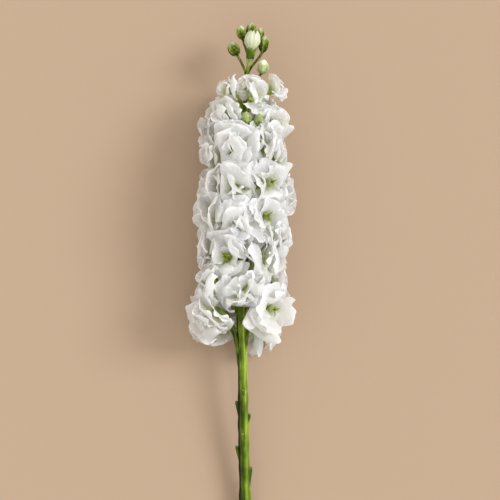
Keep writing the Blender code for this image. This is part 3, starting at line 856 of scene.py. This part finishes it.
def flower_stalk(soup, bloom):
    """A bloom's stalk and its calyx of four sepals, whose tips stand round the bloom's mouth."""
    draw = bloom.random
    foot = stem_point(bloom.foot_along)
    forward, _, _ = stem_frame(bloom.foot_along)
    path = bent_path(foot, bloom.mouth, forward, bloom.facing, STALK_STEPS)
    # Near its foot the stalk runs beside the stem, on its skin.
    s = np.linspace(0.0, 1.0, STALK_STEPS)[:, None]
    beside = stem_radius(bloom.foot_along) * outward(bloom.foot_along, bloom.azimuth)
    path = path + smooth(4.0 * s) * (1.0 - smooth(1.3 * s)) * beside
    gaps = np.linalg.norm(np.diff(path, axis=0), axis=1)
    to_mouth = np.append(np.cumsum(gaps[::-1])[::-1], 0.0)
    sizes = profile(to_mouth, CALYX_SWELL)
    sizes = np.where(to_mouth > CALYX_SWELL[-1][0], np.maximum(sizes, STALK_RADIUS), sizes)
    turn = np.arange(STALK_SIDES) * math.tau / STALK_SIDES
    in_calyx = smooth((CALYX_SWELL[-1][0] - to_mouth) / CALYX_FADE)
    lobes = 1.0 - CALYX_FURROW * in_calyx[:, None] * furrow(turn) ** 2
    calyx_lime = CALYX_LIME if bloom.openness else BUD_CALYX_LIME
    sweep(
        soup, path, sizes[:, None] * lobes, STALK_SIDES,
        lime=STALK_LIME + tip_lime(bloom.foot_along) + calyx_lime * in_calyx,
        pale=CALYX_PALENESS * in_calyx,
    )
    if not bloom.openness:
        sepals(
            soup, draw, bloom.mouth - 5.0 * bloom.facing, bloom.axes, count=4,
            radius=0.98 * CALYX_RADIUS, length=12.0, width=6.4, opening=(0.0, 22.0), turn=0.6,
            lime=-0.04, pale=0.3,
        )
        return
    sepals(
        soup, draw, bloom.mouth - 2.2 * bloom.facing, bloom.axes, count=4,
        radius=0.95 * CALYX_RADIUS, length=6.4, width=4.2, opening=(6.0, 56.0),
        turn=any_turn(draw), lime=0.2, pale=0.4,
    )
    if bloom.number in GREEN_HEARTS:
        share = HEART_SHARE * (OPEN_HEART_SHARE if bloom.shows_heart else 1.0)
        heart = bloom.mouth + share * bloom.petal_length * bloom.petal_axes[2]
        rounds = [(draw.uniform(*lengths), spread) for lengths, spread in HEART_LEAVES]
        for length, spread in rounds:
            sepals(
                soup, draw, heart, bloom.petal_axes, count=3, radius=0.4, length=length, width=1.5,
                opening=(10.0, spread), turn=any_turn(draw), lime=0.08, pale=0.0,
            )


def green_bud(soup, row, draw):
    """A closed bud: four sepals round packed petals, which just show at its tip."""
    foot_along, foot, tip, radius, paleness = row
    foot, tip = np.array(foot), np.array(tip)
    rise = tip - foot
    length = np.linalg.norm(rise)
    heading = rise / length
    forward, _, _ = stem_frame(foot_along)
    entry = foot + BUD_STALK_ENTRY * rise
    path = bent_path(stem_point(foot_along), entry, forward, heading, BUD_STALK_STEPS)
    thickness = np.linspace(*BUD_STALK_RADII, BUD_STALK_STEPS)
    sweep(soup, path, thickness, STALK_SIDES, lime=STALK_LIME, pale=0.0)

    s = np.linspace(0.0, 1.0, GREEN_BUD_STEPS)
    swell = profile(s, GREEN_BUD_SWELL) * radius
    turn = np.arange(GREEN_BUD_STEPS) * math.tau / GREEN_BUD_STEPS
    sweep(
        soup, foot + s[:, None] * rise,
        PACKED_SHARE * swell[:, None] * (1.0 - PACKED_FURROW * furrow(turn)), GREEN_BUD_STEPS,
        lime=0.2, pale=(0.15 + paleness) * smooth((s - 0.5) / 0.3),
    )

    axes = axes_along(heading)
    start = any_turn(draw)
    across, along, quads, rim = disc_grid(GREEN_BUD_GRID)
    t = (along + 1.0) / 2.0
    for place in range(4):
        reach = CASE_REACH - CASE_DRAWBACK * paleness
        height = t * (reach * draw.uniform(*CASE_REACH_RANGE))
        away = profile(height, GREEN_BUD_SWELL) * radius * (1.0 + CASE_OVERLAP * place)
        bend = start + place * math.pi / 2.0 + across * profile(t, CASE_HALF_ANGLE)
        lifted = away + CASE_STAND_OFF * across**2 * smooth(2.0 * t)
        points = np.stack((lifted * np.cos(bend), lifted * np.sin(bend), height * length), axis=1)
        shell(
            soup, points @ axes + foot, quads, rim, CASE_THICKNESS,
            lime=-0.22 + 0.3 * across**2 + 0.25 * t + 0.3 * paleness,
            pale=0.3 * smooth(3.0 * t - 2.0) + 0.5 * max(paleness - 0.3, 0.0),
        )


def leaf_stub(soup, row):
    """The torn foot of a stripped leaf, flattened, standing off the stem at its tip."""
    foot_along, azimuth, length, stand_off = row
    rooted = STUB_ROOT * stem_radius(foot_along) * outward(foot_along, azimuth)
    sunk = stem_point(foot_along) + rooted
    tip_along = foot_along + length
    off = outward(tip_along, azimuth)
    tip = stem_point(tip_along) + stand_off * off
    middle = STUB_MIDDLE[0] * sunk + STUB_MIDDLE[1] * tip - STUB_SAG * off
    s = np.linspace(0.0, 1.0, STUB_STEPS)
    t = s[:, None]
    path = (1 - t) ** 2 * sunk + 2 * t * (1 - t) * (2 * middle - 0.5 * (sunk + tip)) + t * t * tip
    sweep(
        soup, path, STUB_RADIUS * profile(s, STUB_SWELL), STALK_SIDES, squash=STUB_FLATNESS,
        lime=-0.05 + 0.1 * s, pale=0.15 * smooth(8.0 * s - 7.0),
    )


def stem_body(soup):
    """The bare stem: ridged, thicker where leaves stood, and cut on a slant."""
    ends = STEM_ROUTE[0][1], STEM_ROUTE[-1][1]
    stations = np.linspace(*ends, STEM_STEPS)
    path = np.array([stem_point(along) for along in stations])
    turn = np.arange(STEM_SIDES) * math.tau / STEM_SIDES
    along = stations[:, None]
    crests = sum(weight * np.cos(count * turn + wind * along) for weight, count, wind in RIDGES)
    ridges = 1.0 + RIDGE_DEPTH * crests
    knots = sum(KNOT_SWELL * np.exp(-(((stations - row[0]) / KNOT_LENGTH) ** 2)) for row in LEAF_STUBS)
    sizes = stem_radius(stations) * (1.0 + knots)
    near_end = smooth(1.0 - (stations - ends[0]) / CUT_LENGTH)[:, None]
    slant = near_end * CUT_SLANT * (1.0 + np.cos(turn - CUT_HEADING))

    # The cut face: rings from its middle out to the skin, all in the one slanted plane.
    rings = len(CUT_RINGS)
    shares = np.array(CUT_RINGS)[:, None]
    gap = path[1] - path[0]
    face = path[0] + np.arange(rings)[:, None] * CUT_STEP * gap
    faced = shares * sizes[0] * ridges[0]
    hollow = CUT_HOLLOW * (1.0 - shares**2)
    faced_slant = CUT_SLANT * (1.0 + shares * np.cos(turn - CUT_HEADING)) + hollow
    along = np.concatenate((np.full((rings, 1), ends[0]), along))
    crests = np.concatenate((np.repeat(crests[:1], rings, axis=0), crests))
    pale = np.zeros(crests.shape)
    pale[:rings] = np.array(CUT_PALENESS)[:, None]
    # Painted light and shade: the ridges' crests are painted lighter and their furrows darker, and the
    # side that faces the sun lamp is painted lighter.
    lime = STEM_LIME + PAINTED_CREST_LIGHT * crests + PAINTED_LIT_SIDE_LIME * np.cos(turn - PAINTED_LIT_SIDE_HEADING)
    lime = lime + JOINT_LIME * smooth((along - JOINT_ALONG) / JOINT_LENGTH) + tip_lime(along)
    sweep(
        soup, np.concatenate((face, path + CUT_STEP * rings * gap * near_end)),
        np.concatenate((faced, sizes[:, None] * ridges)), STEM_SIDES,
        slant=np.concatenate((faced_slant, slant)), lime=lime, pale=pale,
    )


def linear(code):
    """An sRGB hex colour as linear light."""
    parts = [int(code[i : i + 2], 16) / 255.0 for i in (1, 3, 5)]
    return [c / 12.92 if c <= 0.04045 else ((c + 0.055) / 1.055) ** 2.4 for c in parts] + [1.0]


def add_node(material, kind, links=(), stops=(), **settings):
    """Adds a shader node. Links lead in to it, from an output or from a node's first one. Stops
    are a ramp's colours with their places. Settings are values of sockets or the node's own."""
    node = material.node_tree.nodes.new("ShaderNode" + kind)
    for name, value in settings.items():
        if hasattr(node, name):
            setattr(node, name, value)
        else:
            node.inputs[name.replace("_", " ")].default_value = value
    if stops:
        bands = node.color_ramp.elements
        bands.remove(bands[1])
        bands[0].position, bands[0].color = stops[0][0], linear(stops[0][1])
        for place, code in stops[1:]:
            bands.new(place).color = linear(code)
    for socket, source in links:
        if isinstance(source, bpy.types.Node):
            source = source.outputs[0]
        material.node_tree.links.new(source, node.inputs[socket])
    return node


def empty_material(name):
    """A material without nodes, and the function that adds nodes to it."""
    material = bpy.data.materials.new(name)
    material.use_nodes = True
    material.node_tree.nodes.clear()
    return material, partial(add_node, material)


def petal_tissue(name, tints, face_glow, rim_glow):
    """Petal of stock: soft living tissue 0.2 mm thick, still crumpled from the bud.

    Light passes through its face, so petals behind one another glow softly and none is in full
    shadow. Its rim is thinner and curls to the light, which draws it as a fine bright line. The
    veins fan out from a yellow-green claw, and the cells of its skin give a dull satin gloss.
    """
    material, add = empty_material(name)
    along, across, seed, edge = (
        add("Attribute", attribute_name=label).outputs["Fac"]
        for label in ("along", "across", "seed", "edge")
    )
    place = add("CombineXYZ", [("X", across), ("Y", along), ("Z", seed)])
    fan = add(
        "Mapping", [("Vector", place)],
        Scale=(PETAL_HALF_WIDTH / VEIN_SPACING, PETAL_REACH / VEIN_LENGTH, VEIN_DRIFT),
    )
    veins = add("TexNoise", [("Vector", fan)], Scale=1.0, Detail=4.0, Roughness=0.62)
    where = add("TexCoord").outputs["Object"]
    crinkles = add(
        "TexNoise", [("Vector", where)], Scale=1.0 / (CRINKLE_SIZE * MM), Detail=3.0, Distortion=0.8,
    )
    soft = add("Bump", [("Height", crinkles)], Strength=0.55, Distance=0.9 * MM)
    relief = add("Bump", [("Height", veins), ("Normal", soft)], Strength=0.65, Distance=0.8 * MM)
    # The claw's colour runs up the veins, so its edge is drawn out into streaks.
    streaks = add("Math", [(0, veins), (2, along)], operation="MULTIPLY_ADD")
    streaks.inputs[1].default_value = VEIN_TINT
    colour = add("ValToRGB", [("Fac", streaks)], tints)
    body = add(
        "BsdfPrincipled", [("Base Color", colour), ("Normal", relief)], Roughness=0.38, IOR=1.42,
    )
    through = add("BsdfTranslucent", [("Color", colour), ("Normal", relief)])
    # Petals hold more or less water, so they differ in how much light they let through.
    water = add("Math", [(0, seed)], operation="FRACT")
    face = add(
        "MapRange", [("Value", water)],
        To_Min=face_glow - GLOW_SPREAD, To_Max=face_glow + GLOW_SPREAD,
    )
    thin = add("MapRange", [("Value", edge), ("To Min", face)], To_Max=rim_glow)
    mix = add("MixShader", [("Fac", thin), (1, body), (2, through)])
    add("OutputMaterial", [("Surface", mix)])
    return material


def green_skin(name, tints, streak, blotch, pale_tint, roughness):
    """Green skin of a stem, stalk or bud: living tissue under a thin dull down.

    Streaks run along it where its ribs and vessels are, blotches lie over them, and the down
    keeps the gloss low. Sizes are in millimetres: a streak's width and length, and a blotch.
    """
    material, add = empty_material(name)
    lime, pale = (
        add("Attribute", attribute_name=label).outputs["Fac"] for label in ("lime", "pale")
    )
    where = add("TexCoord").outputs["Object"]
    width, length = streak
    drawn = add(
        "Mapping", [("Vector", where)],
        Scale=(1.0 / (width * MM), 1.0 / (length * MM), 1.0 / (width * MM)),
    )
    fibres = add("TexNoise", [("Vector", drawn)], Scale=1.0, Detail=4.0)
    blotches = add("TexNoise", [("Vector", where)], Scale=1.0 / (blotch * MM), Detail=2.0)
    grain = add("Math", [(0, fibres), (1, blotches)], operation="ADD")
    # The mean of both, with the points' lime, picks the green.
    grown = add("Math", [(0, grain), (2, lime)], operation="MULTIPLY_ADD")
    grown.inputs[1].default_value = 0.5
    colour = add("ValToRGB", [("Fac", grown)], tints)
    mixed = add("Mix", [("Factor", pale), ("A", colour)], data_type="RGBA")
    mixed.inputs["B"].default_value = linear(pale_tint)
    relief = add("Bump", [("Height", grain)], Strength=0.5, Distance=0.3 * MM)
    body = add(
        "BsdfPrincipled", [("Base Color", mixed.outputs["Result"]), ("Normal", relief)],
        Roughness=roughness, IOR=1.36, Specular_IOR_Level=0.25,
    )
    add("OutputMaterial", [("Surface", body)])
    return material


def painted_board():
    """A board under matt paint, which gives the flower a plain warm ground with soft shadows."""
    material = bpy.data.materials.new("painted_board")
    material.use_nodes = True
    shader = material.node_tree.nodes["Principled BSDF"]
    shader.inputs["Base Color"].default_value = linear(BOARD_TINT)
    shader.inputs["Roughness"].default_value = 0.85
    return material


def studio():
    """The board under the flower, one wide soft sun, an even sky, and the camera above."""
    scene = bpy.context.scene
    far = BOARD_HALF
    mesh = bpy.data.meshes.new("floor")
    corners = [(-far, -far, 0), (far, -far, 0), (far, far, 0), (-far, far, 0)]
    mesh.from_pydata(corners, [], [(0, 1, 2, 3)])
    mesh.materials.append(painted_board())
    floor = bpy.data.objects.new("floor", mesh)
    scene.collection.objects.link(floor)
    floor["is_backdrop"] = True

    lamp = bpy.data.lights.new("key", "SUN")
    lamp.angle = math.radians(SUN_WIDTH)
    lamp.energy = SUN_POWER
    lamp.color = linear(SUN_TINT)[:3]
    sun = bpy.data.objects.new("key", lamp)
    sun.location = SUN_PLACE
    sun.rotation_euler = (Vector(SUN_PLACE) - Vector(SUN_AIM)).to_track_quat("Z", "Y").to_euler()
    scene.collection.objects.link(sun)

    world = bpy.data.worlds.new("room")
    scene.world = world
    world.use_nodes = True
    sky = world.node_tree.nodes["Background"]
    sky.inputs["Color"].default_value = linear(SKY_TINT)
    sky.inputs["Strength"].default_value = SKY_POWER

    camera = bpy.data.cameras.new("camera")
    camera.lens = SENSOR_WIDTH * VIEW_DISTANCE / VIEW_WIDTH
    camera.clip_start = 0.05
    holder = bpy.data.objects.new("camera", camera)
    holder.location = CAMERA_PLACE
    scene.collection.objects.link(holder)
    scene.camera = holder
    scene.view_settings.view_transform = "Standard"
    scene.cycles.diffuse_bounces = SURFACE_BOUNCES
    scene.cycles.transmission_bounces = scene.cycles.max_bounces = ALL_BOUNCES


def main():
    blooms = [Bloom(number, *row) for number, row in enumerate(BLOOMS)]
    for bloom in blooms:
        bloom.raise_walls(blooms)
    open_petal = petal_tissue("crinkled_petal_tissue", PETAL_TINTS, face_glow=0.8, rim_glow=0.36)
    packed_petal = petal_tissue("packed_bud_petal_tissue", PACKED_TINTS, face_glow=0.45, rim_glow=0.3)
    for bloom in blooms:
        piece = bloom_piece(bloom, open_petal if bloom.openness else packed_petal)
        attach(piece, "root")
        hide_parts(bloom.name)

    stem_skin = green_skin(
        "ribbed_stem_skin", STEM_GREENS, streak=(1.2, 50.0), blotch=14.0, pale_tint="#DDE6B4",
        roughness=0.55,
    )
    stalk_skin = green_skin(
        "downy_stalk_skin", STALK_GREENS, streak=(1.0, 12.0), blotch=5.0, pale_tint="#E4EBC8",
        roughness=0.65,
    )
    bud_skin = green_skin(
        "mottled_bud_skin", BUD_GREENS, streak=(0.9, 5.0), blotch=1.8, pale_tint="#EEF2DA",
        roughness=0.6,
    )
    stem, stalks, buds = (Soup("lime", "pale") for _ in range(3))
    stem_body(stem)
    for row in LEAF_STUBS:
        leaf_stub(stem, row)
    for bloom in blooms:
        flower_stalk(stalks, bloom)
    draw = random.Random(GREEN_BUDS_SEED)
    for row in GREEN_BUDS:
        green_bud(buds, row, draw)
    for name, soup, skin in (
        ("bare_stem", stem, stem_skin),
        ("flower_stalks", stalks, stalk_skin),
        ("green_buds", buds, bud_skin),
    ):
        piece = soup.object(name, skin)
        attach(piece, "root")
        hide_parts("stem")
    studio()


main()
[[list(map(float, corner)) for corner in box] for box in (cad_box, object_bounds())]
